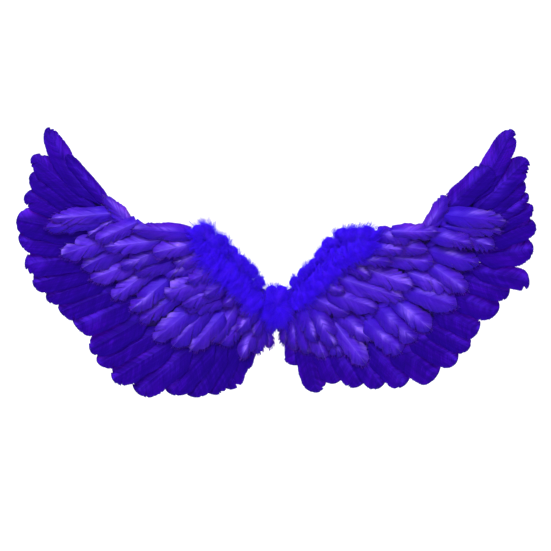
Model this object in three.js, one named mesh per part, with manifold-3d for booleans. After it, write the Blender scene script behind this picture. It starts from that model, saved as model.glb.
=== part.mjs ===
// Costume angel wings: two feathered card wings joined at a creased back patch, with two elastic arm loops.
// Millimetres, +Z up. The feathers face -Y, the wearer stands on the +Y side, and the origin is the
// crease of the patch that lies on the wearer's back.
import * as THREE from "three";
import { mergeVertices } from "three/addons/utils/BufferGeometryUtils.js";
import Module from "manifold-3d";

const wasm = await Module();
wasm.setup();

// Overall form. Each wing lies on its own plane, which turns away from the wearer by the sweep angle.
const halfSpan = 300;
const wingHeight = 313;
const sweepAngle = THREE.MathUtils.degToRad(8);
const planeSpan = halfSpan / Math.cos(sweepAngle);

// Backing cards and the patch that joins them.
const cardThickness = 3;
const creaseGap = 1;
const patchHalfWidth = 28;
const patchTop = 16;
const patchBottom = -20;
const patchThickness = 2;
const clearance = 0.35;

// Feathers: widths at the widest place, and the thickness of a vane along its shaft.
const flightWidth = 36;
const covertWidth = 31;
const vaneThickness = 1.4;
const covertSeam = 0.35;
const featherRoll = Math.tan(THREE.MathUtils.degToRad(7.5));
const flightDroop = 12;
const covertLift = 3;

// Fluff locks, and the tape that the small feathers and locks are sewn to.
const lockWidth = 22;
const lockThickness = 9;
const lockLift = 2;
const tapeWidth = 7;
const tapeThickness = 1.6;
const tapeOverrun = 2;
const seamDepth = 0.25;

// Arm loops: flat elastic bands sewn to the backs of the cards.
const strapWidth = 15;
const strapThickness = 1.5;
const strapPlace = 42;
const strapReach = 96;
const strapHeight = 112;
const strapMiddle = -4;

// Laying: how far apart the supports are felt, how far a footprint reaches, and the steepest rise.
const feelStep = 1.5;
const feelAcross = 10;
const footprintMargin = 1;
const steepestRise = 0.3;

const cardInner = creaseGap / 2 / Math.cos(sweepAngle) + cardThickness * Math.tan(sweepAngle);
const wingShift = (patchThickness + clearance) / Math.cos(sweepAngle);
const restHeight = cardThickness + clearance;

function table(columns, rows) {
  return rows.map((row) => Object.fromEntries(columns.map((name, i) => [name, row[i] ?? 0])));
}

// Card outline from the crease's top round the wing to its bottom: out as a share of the half span,
// up as a share of the wing height.
const cardOutline = table(["out", "up"], [
  [0.077, 0.104],
  [0.174, 0.185],
  [0.348, 0.27],
  [0.503, 0.285],
  [0.61, 0.345],
  [0.7, 0.43],
  [0.76, 0.435],
  [0.8, 0.35],
  [0.785, 0.19],
  [0.7, 0.05],
  [0.54, -0.095],
  [0.31, -0.18],
  [0.12, -0.15],
]);
const cardInnerTop = 0.059;
const cardInnerBottom = -0.07;

// Route of an arm loop from its upper end to its lower end, as shares of its reach and its height.
const strapRoute = table(["behind", "up"], [
  [0, 0.21],
  [0, 0.37],
  [0.09, 0.46],
  [0.36, 0.5],
  [0.73, 0.43],
  [0.96, 0.21],
  [1, -0.02],
  [0.92, -0.25],
  [0.68, -0.42],
  [0.36, -0.5],
  [0.09, -0.43],
  [0, -0.31],
  [0, -0.15],
]);

// Sections along a feather or lock: place along it, and its width and thickness there, as shares.
const sectionColumns = ["at", "wide", "thick"];
const flightSections = table(sectionColumns, [
  [0, 0.12, 1],
  [0.14, 0.2, 1],
  [0.32, 0.85, 1],
  [0.6, 1, 1],
  [0.85, 0.94, 1],
  [0.96, 0.62, 1],
  [1, 0.22, 1],
]);
const covertSections = table(sectionColumns, [
  [0, 0.45, 1],
  [0.15, 0.75, 1],
  [0.5, 1, 1],
  [0.85, 0.85, 1],
  [1, 0.25, 1],
]);
const lockSections = table(sectionColumns, [
  [0, 0.6, 0.6],
  [0.35, 1, 1],
  [0.75, 0.75, 0.7],
  [1, 0.2, 0.2],
]);
const tapeSections = table(sectionColumns, [
  [0, 1, 1],
  [1, 1, 1],
]);

// Tops of the sections, from the middle outwards: across and rise, as shares.
const vaneCrown = [[0, 1], [1, 0.5]];
const lockCrown = [[0, 1], [0.8, 0.7], [1, 0]];
const tapeCrown = [[1, 1]];

const flightKind = {
  sections: flightSections, crown: vaneCrown, width: flightWidth, thickness: vaneThickness, roll: featherRoll,
};
const covertKind = {
  sections: covertSections, crown: vaneCrown, width: covertWidth, thickness: vaneThickness, roll: featherRoll,
  sewnShare: covertSeam,
};
const lockKind = {
  sections: lockSections, crown: lockCrown, width: lockWidth, thickness: lockThickness, roll: 0, sewnShare: 1,
};
const tapeKind = {
  sections: tapeSections, crown: tapeCrown, width: tapeWidth, thickness: tapeThickness, roll: 0,
};

// Feathers from the top of the wing round to its crease, each lying over the next one. Tip and root
// are shares of the half span and the wing height, width is a share of the row's width, and bow is
// how far the shaft bends towards its lower side, as a share of its length.
const featherColumns = ["tipOut", "tipUp", "rootOut", "rootUp", "width", "bow"];
const leftFlights = table(featherColumns, [
  [0.814, 0.578, 0.602, 0.344, 0.45],
  [0.884, 0.681, 0.644, 0.367, 0.78, 0.07],
  [0.942, 0.574, 0.663, 0.354, 0.85],
  [0.95, 0.504, 0.671, 0.33, 0.82],
  [0.965, 0.437, 0.673, 0.304, 0.85],
  [1, 0.341, 0.667, 0.276, 1.05],
  [0.992, 0.267, 0.656, 0.248, 0.97],
  [0.969, 0.178, 0.64, 0.219, 1],
  [0.938, 0.104, 0.617, 0.187, 0.88],
  [0.888, 0.052, 0.582, 0.154, 0.85],
  [0.834, 0, 0.544, 0.115, 0.88],
  [0.776, -0.052, 0.501, 0.067, 1.05],
  [0.721, -0.141, 0.451, 0.011, 0.97],
  [0.687, -0.193, 0.397, -0.033, 0.78],
  [0.633, -0.252, 0.342, -0.07, 0.95],
  [0.544, -0.296, 0.288, -0.096, 1.08],
  [0.42, -0.3, 0.215, -0.081, 1.05],
  [0.335, -0.314, 0.172, -0.078, 0.87],
  [0.265, -0.302, 0.137, -0.07, 0.86],
  [0.196, -0.285, 0.103, -0.063, 0.85],
  [0.143, -0.215, 0.08, -0.052, 0.65],
]);
const rightFlights = table(featherColumns, [
  [0.83, 0.53, 0.618, 0.345, 0.85],
  [0.908, 0.674, 0.706, 0.354, 0.85, 0.03],
  [0.966, 0.563, 0.72, 0.333, 0.85],
  [0.951, 0.484, 0.731, 0.309, 0.78],
  [0.971, 0.43, 0.735, 0.285, 0.6],
  [0.988, 0.385, 0.733, 0.259, 0.6],
  [0.993, 0.33, 0.727, 0.233, 0.9],
  [0.988, 0.232, 0.718, 0.206, 1.0],
  [0.973, 0.112, 0.7, 0.174, 0.75],
  [0.897, 0.072, 0.667, 0.141, 0.85],
  [0.852, 0, 0.625, 0.085, 0.92],
  [0.779, -0.07, 0.571, 0.035, 0.9],
  [0.745, -0.133, 0.52, -0.011, 0.8],
  [0.698, -0.181, 0.466, -0.052, 0.95],
  [0.617, -0.241, 0.404, -0.078, 1.1],
  [0.503, -0.266, 0.338, -0.093, 0.98],
  [0.41, -0.276, 0.277, -0.094, 0.9],
  [0.33, -0.272, 0.219, -0.089, 1.0],
  [0.24, -0.262, 0.164, -0.078, 0.95],
  [0.155, -0.302, 0.1, -0.063, 0.84],
  [0.074, -0.2, 0.068, -0.044, 0.68],
]);
const leftGreaterCoverts = table(featherColumns, [
  [0.665, 0.425, 0.52, 0.262, 0.7],
  [0.868, 0.344, 0.636, 0.367, 0.72],
  [0.888, 0.311, 0.667, 0.337, 0.66],
  [0.729, 0.281, 0.598, 0.363, 0.66],
  [0.83, 0.211, 0.621, 0.281, 0.94],
  [0.752, 0.163, 0.574, 0.248, 0.88],
  [0.718, 0.122, 0.505, 0.204, 0.94],
  [0.636, 0.052, 0.466, 0.174, 0.77],
  [0.567, 0.007, 0.412, 0.13, 0.94],
  [0.528, -0.033, 0.366, 0.074, 0.77],
  [0.478, -0.104, 0.304, 0.033, 0.94],
  [0.404, -0.126, 0.257, 0.022, 0.83],
  [0.335, -0.141, 0.207, 0, 0.83],
  [0.253, -0.111, 0.161, 0.026, 0.72],
  [0.219, -0.119, 0.103, -0.007, 0.72],
  [0.141, -0.17, 0.068, -0.019, 0.77],
  [0.087, -0.156, 0.048, -0.022, 0.66],
  [0.031, -0.135, 0.041, -0.015, 0.5],
]);
const rightGreaterCoverts = table(featherColumns, [
  [0.656, 0.43, 0.571, 0.274, 0.65],
  [0.884, 0.333, 0.65, 0.36, 0.83],
  [0.865, 0.3, 0.645, 0.318, 0.66],
  [0.841, 0.241, 0.663, 0.3, 0.83],
  [0.78, 0.178, 0.574, 0.233, 0.88],
  [0.737, 0.081, 0.594, 0.181, 0.77],
  [0.694, 0.089, 0.509, 0.148, 0.94],
  [0.698, 0.022, 0.493, 0.089, 1],
  [0.598, -0.063, 0.455, 0.052, 0.88],
  [0.54, -0.104, 0.393, 0.015, 0.94],
  [0.485, -0.148, 0.346, -0.03, 0.94],
  [0.369, -0.104, 0.246, 0, 0.77],
  [0.35, -0.193, 0.226, -0.037, 0.83],
  [0.257, -0.163, 0.176, -0.022, 0.83],
  [0.191, -0.17, 0.137, -0.022, 0.83],
  [0.126, -0.156, 0.095, -0.015, 0.66],
  [0.079, -0.141, 0.064, -0.011, 0.61],
  [0.031, -0.12, 0.041, -0.007, 0.48],
]);
const leftMedianCoverts = table(featherColumns, [
  [0.702, 0.263, 0.544, 0.333, 0.72],
  [0.667, 0.241, 0.451, 0.267, 0.83],
  [0.605, 0.167, 0.435, 0.237, 0.77],
  [0.54, 0.185, 0.389, 0.256, 0.66],
  [0.551, 0.144, 0.381, 0.2, 0.77],
  [0.455, 0.156, 0.277, 0.185, 0.83],
  [0.435, 0.067, 0.25, 0.133, 1],
  [0.369, 0.026, 0.211, 0.1, 0.83],
  [0.35, 0.007, 0.172, 0.059, 0.72],
  [0.157, -0.07, 0.072, 0.022, 0.66],
  [0.095, -0.085, 0.041, 0.007, 0.61],
]);
const rightMedianCoverts = table(featherColumns, [
  [0.756, 0.252, 0.602, 0.289, 0.72],
  [0.586, 0.23, 0.377, 0.263, 0.72],
  [0.609, 0.185, 0.4, 0.211, 0.88],
  [0.528, 0.096, 0.331, 0.17, 1],
  [0.493, 0.052, 0.238, 0.13, 0.94],
  [0.393, 0.011, 0.191, 0.085, 1],
  [0.284, -0.007, 0.122, 0.063, 0.72],
  [0.23, -0.126, 0.153, 0.015, 0.77],
  [0.161, -0.111, 0.103, 0.022, 0.77],
]);
const leftLesserCoverts = table(featherColumns, [
  [0.56, 0.306, 0.335, 0.292, 0.72],
  [0.482, 0.219, 0.296, 0.263, 0.77],
  [0.404, 0.185, 0.25, 0.222, 0.77],
  [0.35, 0.111, 0.219, 0.17, 0.72],
  [0.284, 0.059, 0.172, 0.133, 0.66],
  [0.211, 0.026, 0.122, 0.096, 0.61],
  [0.141, -0.015, 0.072, 0.059, 0.55],
]);
const rightLesserCoverts = table(featherColumns, [
  [0.625, 0.296, 0.45, 0.3, 0.66],
  [0.524, 0.274, 0.393, 0.292, 0.72],
  [0.497, 0.23, 0.369, 0.244, 0.66],
  [0.447, 0.185, 0.308, 0.2, 0.55],
  [0.369, 0.133, 0.265, 0.178, 0.55],
  [0.265, 0.074, 0.176, 0.111, 0.55],
]);

// Fluff locks in pairs along the top of each wing, one rising past its edge and one falling on the
// feathers, and the locks of the tuft over the crease, in the same columns.
const leftLocks = table(featherColumns, [
  [0.335, 0.319, 0.284, 0.267, 1],
  [0.311, 0.207, 0.277, 0.267, 1],
  [0.292, 0.333, 0.265, 0.256, 1],
  [0.273, 0.156, 0.242, 0.23, 1],
  [0.215, 0.293, 0.23, 0.23, 1],
  [0.242, 0.115, 0.211, 0.193, 1],
  [0.176, 0.252, 0.195, 0.2, 1],
  [0.211, 0.085, 0.176, 0.159, 1],
  [0.13, 0.211, 0.161, 0.167, 1],
  [0.176, 0.056, 0.141, 0.122, 1],
  [0.087, 0.174, 0.126, 0.133, 0.9],
  [0.141, 0.022, 0.106, 0.089, 0.9],
  [0.052, 0.122, 0.095, 0.1, 0.7],
  [0.106, -0.007, 0.078, 0.059, 0.7],
]);
const rightLocks = table(featherColumns, [
  [0.373, 0.322, 0.346, 0.259, 1],
  [0.377, 0.207, 0.338, 0.256, 1],
  [0.315, 0.319, 0.311, 0.252, 1],
  [0.315, 0.178, 0.296, 0.241, 1],
  [0.25, 0.319, 0.269, 0.244, 1],
  [0.269, 0.156, 0.253, 0.222, 1],
  [0.184, 0.274, 0.23, 0.226, 1],
  [0.23, 0.122, 0.219, 0.189, 1],
  [0.157, 0.233, 0.199, 0.196, 1],
  [0.195, 0.089, 0.184, 0.156, 1],
  [0.126, 0.189, 0.164, 0.163, 0.9],
  [0.161, 0.056, 0.149, 0.122, 0.9],
  [0.083, 0.152, 0.13, 0.13, 0.9],
  [0.126, 0.026, 0.114, 0.089, 0.9],
  [0.052, 0.122, 0.095, 0.1, 0.7],
  [0.083, 0, 0.079, 0.063, 0.7],
]);
const tuftLocks = table(featherColumns, [
  [-0.03, 0.104, 0, 0.033, 0.8],
  [0.03, 0.104, 0, 0.033, 0.8],
  [-0.056, 0, -0.006, 0.026, 0.8],
  [0.056, 0, 0.006, 0.026, 0.8],
  [-0.041, -0.044, -0.01, 0.015, 0.8],
  [0.041, -0.044, 0.01, 0.015, 0.8],
  [0, -0.067, 0, 0.007, 0.8],
]);

function interpolate(points, place) {
  const next = points.findIndex(([x]) => x >= place);
  if (next === 0 || next === -1) return points.at(next)[1];
  const [x0, y0] = points[next - 1];
  const [x1, y1] = points[next];
  return y0 + ((y1 - y0) * (place - x0)) / (x1 - x0);
}

// A piece that lies on the wing: a straight or bowed axis from root to tip with sections along it.
// Its lower side is the one that lies on the next piece down.
function pieceBetween(root, tip, kind, width = 1, bow = 0) {
  const length = Math.hypot(tip[0] - root[0], tip[1] - root[1]);
  const along = [(tip[0] - root[0]) / length, (tip[1] - root[1]) / length];
  const lower = [along[1], -along[0]];
  const sections = kind.sections.map(({ at, wide, thick }) => ({
    at: at * length,
    half: (wide * width * kind.width) / 2,
    bow: 4 * bow * length * at * (1 - at),
    thick: thick * kind.thickness,
    height: restHeight,
  }));
  return { root, along, lower, length, kind, sections };
}

function pieceOf(row, kind) {
  const root = [row.rootOut * planeSpan, row.rootUp * wingHeight];
  const tip = [row.tipOut * planeSpan, row.tipUp * wingHeight];
  return pieceBetween(root, tip, kind, row.width, row.bow);
}

function sectionAt(piece, distance) {
  const { sections } = piece;
  const found = sections.findIndex(({ at }) => at >= distance);
  const next = found === -1 ? sections.length - 1 : Math.max(1, found);
  const [a, b] = [sections[next - 1], sections[next]];
  const share = THREE.MathUtils.clamp((distance - a.at) / (b.at - a.at), 0, 1);
  const mixed = (key) => THREE.MathUtils.lerp(a[key], b[key], share);
  return { half: mixed("half"), bow: mixed("bow"), thick: mixed("thick"), height: mixed("height") };
}

function placeOn(piece, distance, across) {
  const { root, along, lower } = piece;
  return [0, 1].map((i) => root[i] + along[i] * distance + lower[i] * across);
}

// Height of a laid piece's upper side over a place of the plane, or nothing where it doesn't reach.
function topOf(piece, out, up) {
  const { root, along, lower, kind } = piece;
  const [du, dv] = [out - root[0], up - root[1]];
  const distance = du * along[0] + dv * along[1];
  if (distance < -footprintMargin || distance > piece.length + footprintMargin) return -Infinity;
  const here = sectionAt(piece, distance);
  const across = du * lower[0] + dv * lower[1] - here.bow;
  if (Math.abs(across) > here.half + footprintMargin) return -Infinity;
  const crown = interpolate(kind.crown, Math.min(1, Math.abs(across) / here.half));
  return here.height + across * kind.roll + here.thick * crown;
}

// Lowers a piece onto what lies below it: it keeps its own rest curve where nothing is in the way,
// and lies one clearance above the support where something is, with no stretch steeper than allowed.
function settle(piece, support, rest) {
  const { sections, kind, length } = piece;
  sections.forEach((section) => {
    section.height = rest(section.at / length);
  });
  sections.slice(1).forEach((b, i) => {
    const a = sections[i];
    const steps = Math.ceil((b.at - a.at) / feelStep);
    for (let step = 0; step <= steps; step++) {
      const distance = THREE.MathUtils.lerp(a.at, b.at, step / steps);
      const here = sectionAt(piece, distance);
      for (let j = -feelAcross; j <= feelAcross; j++) {
        const across = (here.half * j) / feelAcross;
        const [out, up] = placeOn(piece, distance, across + here.bow);
        const need = support(out, up, distance / length) + clearance - across * kind.roll;
        a.height = Math.max(a.height, need);
        b.height = Math.max(b.height, need);
      }
    }
  });
  const easeFrom = (from, to) => {
    const fall = steepestRise * Math.abs(to.at - from.at);
    to.height = Math.max(to.height, from.height - fall);
  };
  for (let i = 1; i < sections.length; i++) easeFrom(sections[i - 1], sections[i]);
  for (let i = sections.length - 1; i > 0; i--) easeFrom(sections[i], sections[i - 1]);
}

function highest(pieces, out, up) {
  return pieces.reduce((top, piece) => Math.max(top, topOf(piece, out, up)), -Infinity);
}

function inside(outline, out, up) {
  let within = false;
  outline.forEach((a, i) => {
    const b = outline.at(i - 1);
    const crosses = a.y > up !== b.y > up;
    if (crosses && out < ((b.x - a.x) * (up - a.y)) / (b.y - a.y) + a.x) within = !within;
  });
  return within;
}

// A row sewn to a tape that runs from root to root. The feathers are laid from the last to the
// first, so that each lies over the next one, and their roots sink a seam's depth into the tape.
function layRow(rows, kind, lift, support) {
  const feathers = rows.map((row) => pieceOf(row, kind)).reverse();
  const tapes = feathers.slice(1).map((feather, i) => tapeBetween(feathers[i].root, feather.root));
  tapes.forEach((tape) => settle(tape, support, () => restHeight));
  const sewn = [];
  feathers.forEach((feather, i) => {
    const ends = [tapes[i - 1]?.sections.at(-1), tapes[i]?.sections[0]].filter(Boolean);
    const base = Math.max(...ends.map((end) => end.height)) + seamDepth;
    const under = (out, up, share) =>
      Math.max(support(out, up), share > kind.sewnShare ? highest(sewn, out, up) : -Infinity);
    settle(feather, under, (share) => base + lift * share * (2 - share));
    sewn.push(feather);
  });
  tapes.forEach((tape, i) => {
    const [first, last] = tape.sections;
    first.height = feathers[i].sections[0].height - seamDepth;
    last.height = feathers[i + 1].sections[0].height - seamDepth;
  });
  return [...feathers, ...tapes];
}

function tapeBetween(from, to) {
  const reach = Math.hypot(to[0] - from[0], to[1] - from[1]);
  const step = [0, 1].map((i) => ((to[i] - from[i]) / reach) * tapeOverrun);
  const start = [from[0] - step[0], from[1] - step[1]];
  const end = [to[0] + step[0], to[1] + step[1]];
  return pieceBetween(start, end, tapeKind);
}

// Lays one wing: flights on the card, then the rows of coverts, then the fluff.
function layWing({ flights, greater, median, lesser, locks }) {
  const outline = cardShape(1).getPoints(2);
  const laid = [];
  const support = (out, up) =>
    Math.max(inside(outline, out, up) ? cardThickness : -Infinity, highest(laid, out, up));
  const wing = { laid, flights: [] };
  [...flights].reverse().forEach((row) => {
    const flight = pieceOf(row, flightKind);
    settle(flight, support, (share) => restHeight - flightDroop * share * share);
    laid.push(flight);
    wing.flights.unshift(flight);
  });
  const addRow = (name, rows, kind, lift) => {
    wing[name] = layRow(rows, kind, lift, support);
    laid.push(...wing[name]);
  };
  addRow("greater", greater, covertKind, covertLift);
  addRow("median", median, covertKind, covertLift);
  addRow("lesser", lesser, covertKind, covertLift);
  addRow("fluff", locks, lockKind, lockLift);
  return wing;
}

// Lays the tuft over both wings. It faces straight ahead, so the tops of the swept wings are felt
// along its own direction.
function layTuft(wings) {
  const [cos, sin] = [Math.cos(sweepAngle), Math.sin(sweepAngle)];
  const ahead = (wing, out, up) => {
    const first = highest(wing.laid, out / cos, up);
    const lean = Math.max(0, first) * sin;
    const tops = [0, 0.25, 0.5, 0.75, 1].map((share) => {
      const along = (out + share * lean) / cos;
      return along * sin + highest(wing.laid, along, up) * cos;
    });
    return Math.max(...tops);
  };
  const support = (across, up) =>
    Math.max(ahead(wings.left, -across, up), ahead(wings.right, across, up));
  const tuft = tuftLocks.map((row) => pieceOf(row, lockKind));
  const base = tuft.map((lock) => {
    settle(lock, support, () => restHeight);
    return lock.sections[0].height;
  });
  const hub = Math.max(...base);
  tuft.forEach((lock) => settle(lock, support, () => hub));
  return tuft;
}

// Geometry.
function ringOf({ crown }) {
  const edgeRise = crown.at(-1)[1];
  const base = edgeRise > 0 ? [[-1, 0], [1, 0]] : [];
  const rising = [...crown].reverse();
  const falling = crown.filter(([across]) => across > 0).map(([across, rise]) => [-across, rise]);
  return [...base, ...rising, ...falling];
}

function signedVolume(points, faces) {
  const cross = new THREE.Vector3();
  return faces.reduce((sum, [a, b, c]) => sum + points[a].dot(cross.crossVectors(points[b], points[c])), 0);
}

// A closed body through rings with as many points each, with its faces pointing out.
function bodyThrough(rings) {
  const count = rings[0].length;
  const points = rings.flat();
  const faces = [];
  for (let r = 0; r + 1 < rings.length; r++) {
    for (let i = 0; i < count; i++) {
      const [a, b] = [r * count + i, r * count + ((i + 1) % count)];
      faces.push([a, b, b + count], [a, b + count, a + count]);
    }
  }
  const last = points.length - count;
  for (let i = 2; i < count; i++) faces.push([0, i, i - 1], [last, last + i - 1, last + i]);
  if (signedVolume(points, faces) < 0) faces.forEach((face) => face.reverse());
  const geometry = new THREE.BufferGeometry().setFromPoints(points);
  geometry.setIndex(faces.flat());
  return geometry;
}

// A piece about its own root: x along it, z to the front.
function pieceGeometry(piece, side) {
  const { kind, sections } = piece;
  const ring = ringOf(kind);
  const root = sections[0].height;
  return bodyThrough(sections.map(({ at, half, bow, thick, height }) =>
    ring.map(([share, rise]) => {
      const across = share * half;
      const front = height - root + across * kind.roll + rise * thick;
      return new THREE.Vector3(at, -side * (across + bow), front);
    })));
}

function placement(piece, side) {
  const along = new THREE.Vector3(side * piece.along[0], 0, piece.along[1]);
  const front = new THREE.Vector3(0, -1, 0);
  const across = new THREE.Vector3().crossVectors(front, along);
  const matrix = new THREE.Matrix4().makeBasis(along, across, front);
  return matrix.setPosition(side * piece.root[0], -piece.sections[0].height, piece.root[1]);
}

function solidOf(geometry) {
  const bare = geometry.clone();
  bare.deleteAttribute("normal");
  bare.deleteAttribute("uv");
  const { index, attributes } = mergeVertices(bare, 1e-4);
  const triVerts = new Uint32Array(index.array);
  const mesh = new wasm.Mesh({ numProp: 3, vertProperties: attributes.position.array, triVerts });
  return new wasm.Manifold(mesh);
}

function joined(geometries) {
  const { vertProperties, triVerts } = geometries.map(solidOf).reduce((sum, next) => sum.add(next)).getMesh();
  const geometry = new THREE.BufferGeometry();
  geometry.setAttribute("position", new THREE.BufferAttribute(vertProperties, 3));
  return geometry.setIndex(new THREE.BufferAttribute(triVerts, 1));
}

function joinedPieces(pieces, side) {
  return joined(pieces.map((piece) => pieceGeometry(piece, side).applyMatrix4(placement(piece, side))));
}

function cardShape(side) {
  const at = (out, up) => new THREE.Vector2(side * out, up * wingHeight);
  const shape = new THREE.Shape([at(cardInner, cardInnerBottom), at(cardInner, cardInnerTop)]);
  const round = cardOutline.map(({ out, up }) => at(out * planeSpan, up));
  return shape.splineThru([...round, at(cardInner, cardInnerBottom)]);
}

function cardGeometry(side) {
  const options = { depth: cardThickness, bevelEnabled: false, curveSegments: 2 };
  return new THREE.ExtrudeGeometry(cardShape(side), options).rotateX(Math.PI / 2);
}

// The patch is bent along the crease, so that each half lies on the back of its card.
function patchGeometry() {
  const [cos, sin] = [Math.cos(sweepAngle), Math.sin(sweepAngle)];
  const at = (side, out, front) =>
    new THREE.Vector2(side * (out * cos - front * sin), -(out * sin + front * cos));
  const shape = new THREE.Shape([
    new THREE.Vector2(0, 0),
    at(-1, patchHalfWidth, 0),
    at(-1, patchHalfWidth, patchThickness),
    new THREE.Vector2(0, -patchThickness / cos),
    at(1, patchHalfWidth, patchThickness),
    at(1, patchHalfWidth, 0),
  ]);
  const options = { depth: patchTop - patchBottom, bevelEnabled: false };
  return new THREE.ExtrudeGeometry(shape, options).translate(0, 0, patchBottom);
}

// An arm loop is the band's thickness wide on both sides of its route, seen along the wing.
function strapGeometry() {
  const seat = clearance + strapThickness / 2;
  const route = strapRoute.map(({ behind, up }) =>
    new THREE.Vector3(seat + behind * (strapReach - seat), up * strapHeight + strapMiddle, 0));
  const curve = new THREE.CatmullRomCurve3(route, false, "centripetal");
  const steps = 2 * (route.length - 1);
  const edge = (side) =>
    Array.from({ length: steps + 1 }, (_, i) => {
      const point = curve.getPoint(i / steps);
      const turn = curve.getTangent(i / steps);
      const reach = (side * strapThickness) / 2;
      const behind = Math.max(clearance, point.x - turn.y * reach);
      return new THREE.Vector2(behind, point.y + turn.x * reach);
    });
  const shape = new THREE.Shape([...edge(1), ...edge(-1).reverse()]);
  const geometry = new THREE.ExtrudeGeometry(shape, { depth: strapWidth, bevelEnabled: false });
  return geometry.translate(0, 0, -strapWidth / 2).rotateX(Math.PI / 2).rotateZ(Math.PI / 2);
}

function finish(color, roughness) {
  return new THREE.MeshStandardMaterial({ color, roughness, metalness: 0 });
}
const flightFinish = () => finish(0x300998, 0.5);
const covertFinish = () => finish(0x4421c0, 0.45);
const fluffFinish = () => finish(0x3617da, 0.8);
const feltFinish = () => finish(0x1c0a66, 0.95);
const elasticFinish = () => finish(0x24108a, 0.85);

function named(name, geometry, material) {
  const mesh = new THREE.Mesh(geometry, material);
  mesh.name = name;
  return mesh;
}

function wingGroup(name, side, wing) {
  const group = new THREE.Group();
  group.position.y = -wingShift;
  group.rotation.z = -side * sweepAngle;
  group.add(named(name + "_backing_card", cardGeometry(side), feltFinish()));
  wing.flights.forEach((flight, i) => {
    const number = String(i + 1).padStart(2, "0");
    const mesh = named(name + "_flight_" + number, pieceGeometry(flight, side), flightFinish());
    mesh.applyMatrix4(placement(flight, side));
    group.add(mesh);
  });
  group.add(named(name + "_greater_coverts", joinedPieces(wing.greater, side), covertFinish()));
  group.add(named(name + "_median_coverts", joinedPieces(wing.median, side), covertFinish()));
  group.add(named(name + "_lesser_coverts", joinedPieces(wing.lesser, side), covertFinish()));
  group.add(named(name + "_fluff", joinedPieces(wing.fluff, side), fluffFinish()));
  const strap = named(name + "_arm_loop", strapGeometry(), elasticFinish());
  strap.position.x = side * strapPlace;
  group.add(strap);
  return group;
}

const wings = {
  left: layWing({
    flights: leftFlights,
    greater: leftGreaterCoverts,
    median: leftMedianCoverts,
    lesser: leftLesserCoverts,
    locks: leftLocks,
  }),
  right: layWing({
    flights: rightFlights,
    greater: rightGreaterCoverts,
    median: rightMedianCoverts,
    lesser: rightLesserCoverts,
    locks: rightLocks,
  }),
};

const angelWings = new THREE.Group();
angelWings.add(wingGroup("left", -1, wings.left));
angelWings.add(wingGroup("right", 1, wings.right));
angelWings.add(named("back_patch", patchGeometry(), feltFinish()));
const tuft = named("centre_tuft", joinedPieces(layTuft(wings), 1), fluffFinish());
tuft.position.y = -wingShift;
angelWings.add(tuft);

export default angelWings;
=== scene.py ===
"""Feathers, down, felt and elastic of a pair of costume angel wings.

Metres, +Z up. The feathers face -Y and the wearer stands on the +Y side. The feathers are laid here as
they are in the solids: each piece lies on its wing's plane, on top of what was laid before it.
"""

import math
from types import SimpleNamespace

import bpy
import numpy as np
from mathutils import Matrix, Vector


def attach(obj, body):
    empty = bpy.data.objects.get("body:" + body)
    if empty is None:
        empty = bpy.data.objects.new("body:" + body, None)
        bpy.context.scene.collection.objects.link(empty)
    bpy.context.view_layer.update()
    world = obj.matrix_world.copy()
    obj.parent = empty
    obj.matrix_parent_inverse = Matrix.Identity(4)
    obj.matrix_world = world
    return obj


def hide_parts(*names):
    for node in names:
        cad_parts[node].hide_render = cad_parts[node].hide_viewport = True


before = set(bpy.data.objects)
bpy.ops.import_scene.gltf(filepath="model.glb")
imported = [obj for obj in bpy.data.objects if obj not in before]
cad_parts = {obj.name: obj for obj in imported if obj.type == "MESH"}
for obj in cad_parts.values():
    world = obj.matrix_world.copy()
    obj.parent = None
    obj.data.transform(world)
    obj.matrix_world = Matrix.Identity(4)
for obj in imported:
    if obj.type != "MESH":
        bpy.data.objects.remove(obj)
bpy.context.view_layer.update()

# Overall form of the wings.
HALF_SPAN = 0.300
WING_HEIGHT = 0.313
SWEEP = math.radians(8)
PLANE_SPAN = HALF_SPAN / math.cos(SWEEP)

# Backing.
CARD_THICKNESS = 0.003
CREASE_GAP = 0.001
PATCH_HALF_WIDTH = 0.028
PATCH_TOP = 0.016
PATCH_BOTTOM = -0.020
PATCH_THICKNESS = 0.002
CLEARANCE = 0.00035

# Feathers, locks and tapes.
FLIGHT_WIDTH = 0.036
COVERT_WIDTH = 0.031
VANE_THICKNESS = 0.0014
COVERT_SEAM = 0.35
FEATHER_ROLL = math.tan(math.radians(7.5))
FLIGHT_DROOP = 0.012
COVERT_LIFT = 0.003
LOCK_WIDTH = 0.022
LOCK_THICKNESS = 0.009
LOCK_LIFT = 0.002
TAPE_WIDTH = 0.007
TAPE_THICKNESS = 0.0016
TAPE_OVERRUN = 0.002
SEAM_DEPTH = 0.00025

# Arm loops.
STRAP_WIDTH = 0.015
STRAP_THICKNESS = 0.0015
STRAP_PLACE = 0.042
STRAP_REACH = 0.096
STRAP_HEIGHT = 0.112
STRAP_MIDDLE = -0.004
STRAP_POINTS = 132
STRAP_RIBS = 8
RIB_DEPTH = 0.14

# Rounding and seams of the backing. A stitch has a length and a gap after it.
CARD_ROUNDING = 0.0009
CARD_SEAM = 0.0055
CARD_STITCH = (0.004, 0.0026)
PATCH_CORNER = 0.005
PATCH_CREASE = 0.001
PATCH_SEAM = 0.003
PATCH_STITCH = (0.003, 0.002)
STRAP_SEAM_HALF_WIDTH = 0.005
STRAP_SEAM_MARGIN = 0.002
STRAP_STITCH = (0.0022, 0.0009)
STITCH_RADIUS = 0.00032
SEAM_LIFT = 0.0001

# Laying.
FEEL_STEP = 0.0015
FEEL_ACROSS = 10
FOOTPRINT_MARGIN = 0.001
STEEPEST_RISE = 0.3

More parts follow.
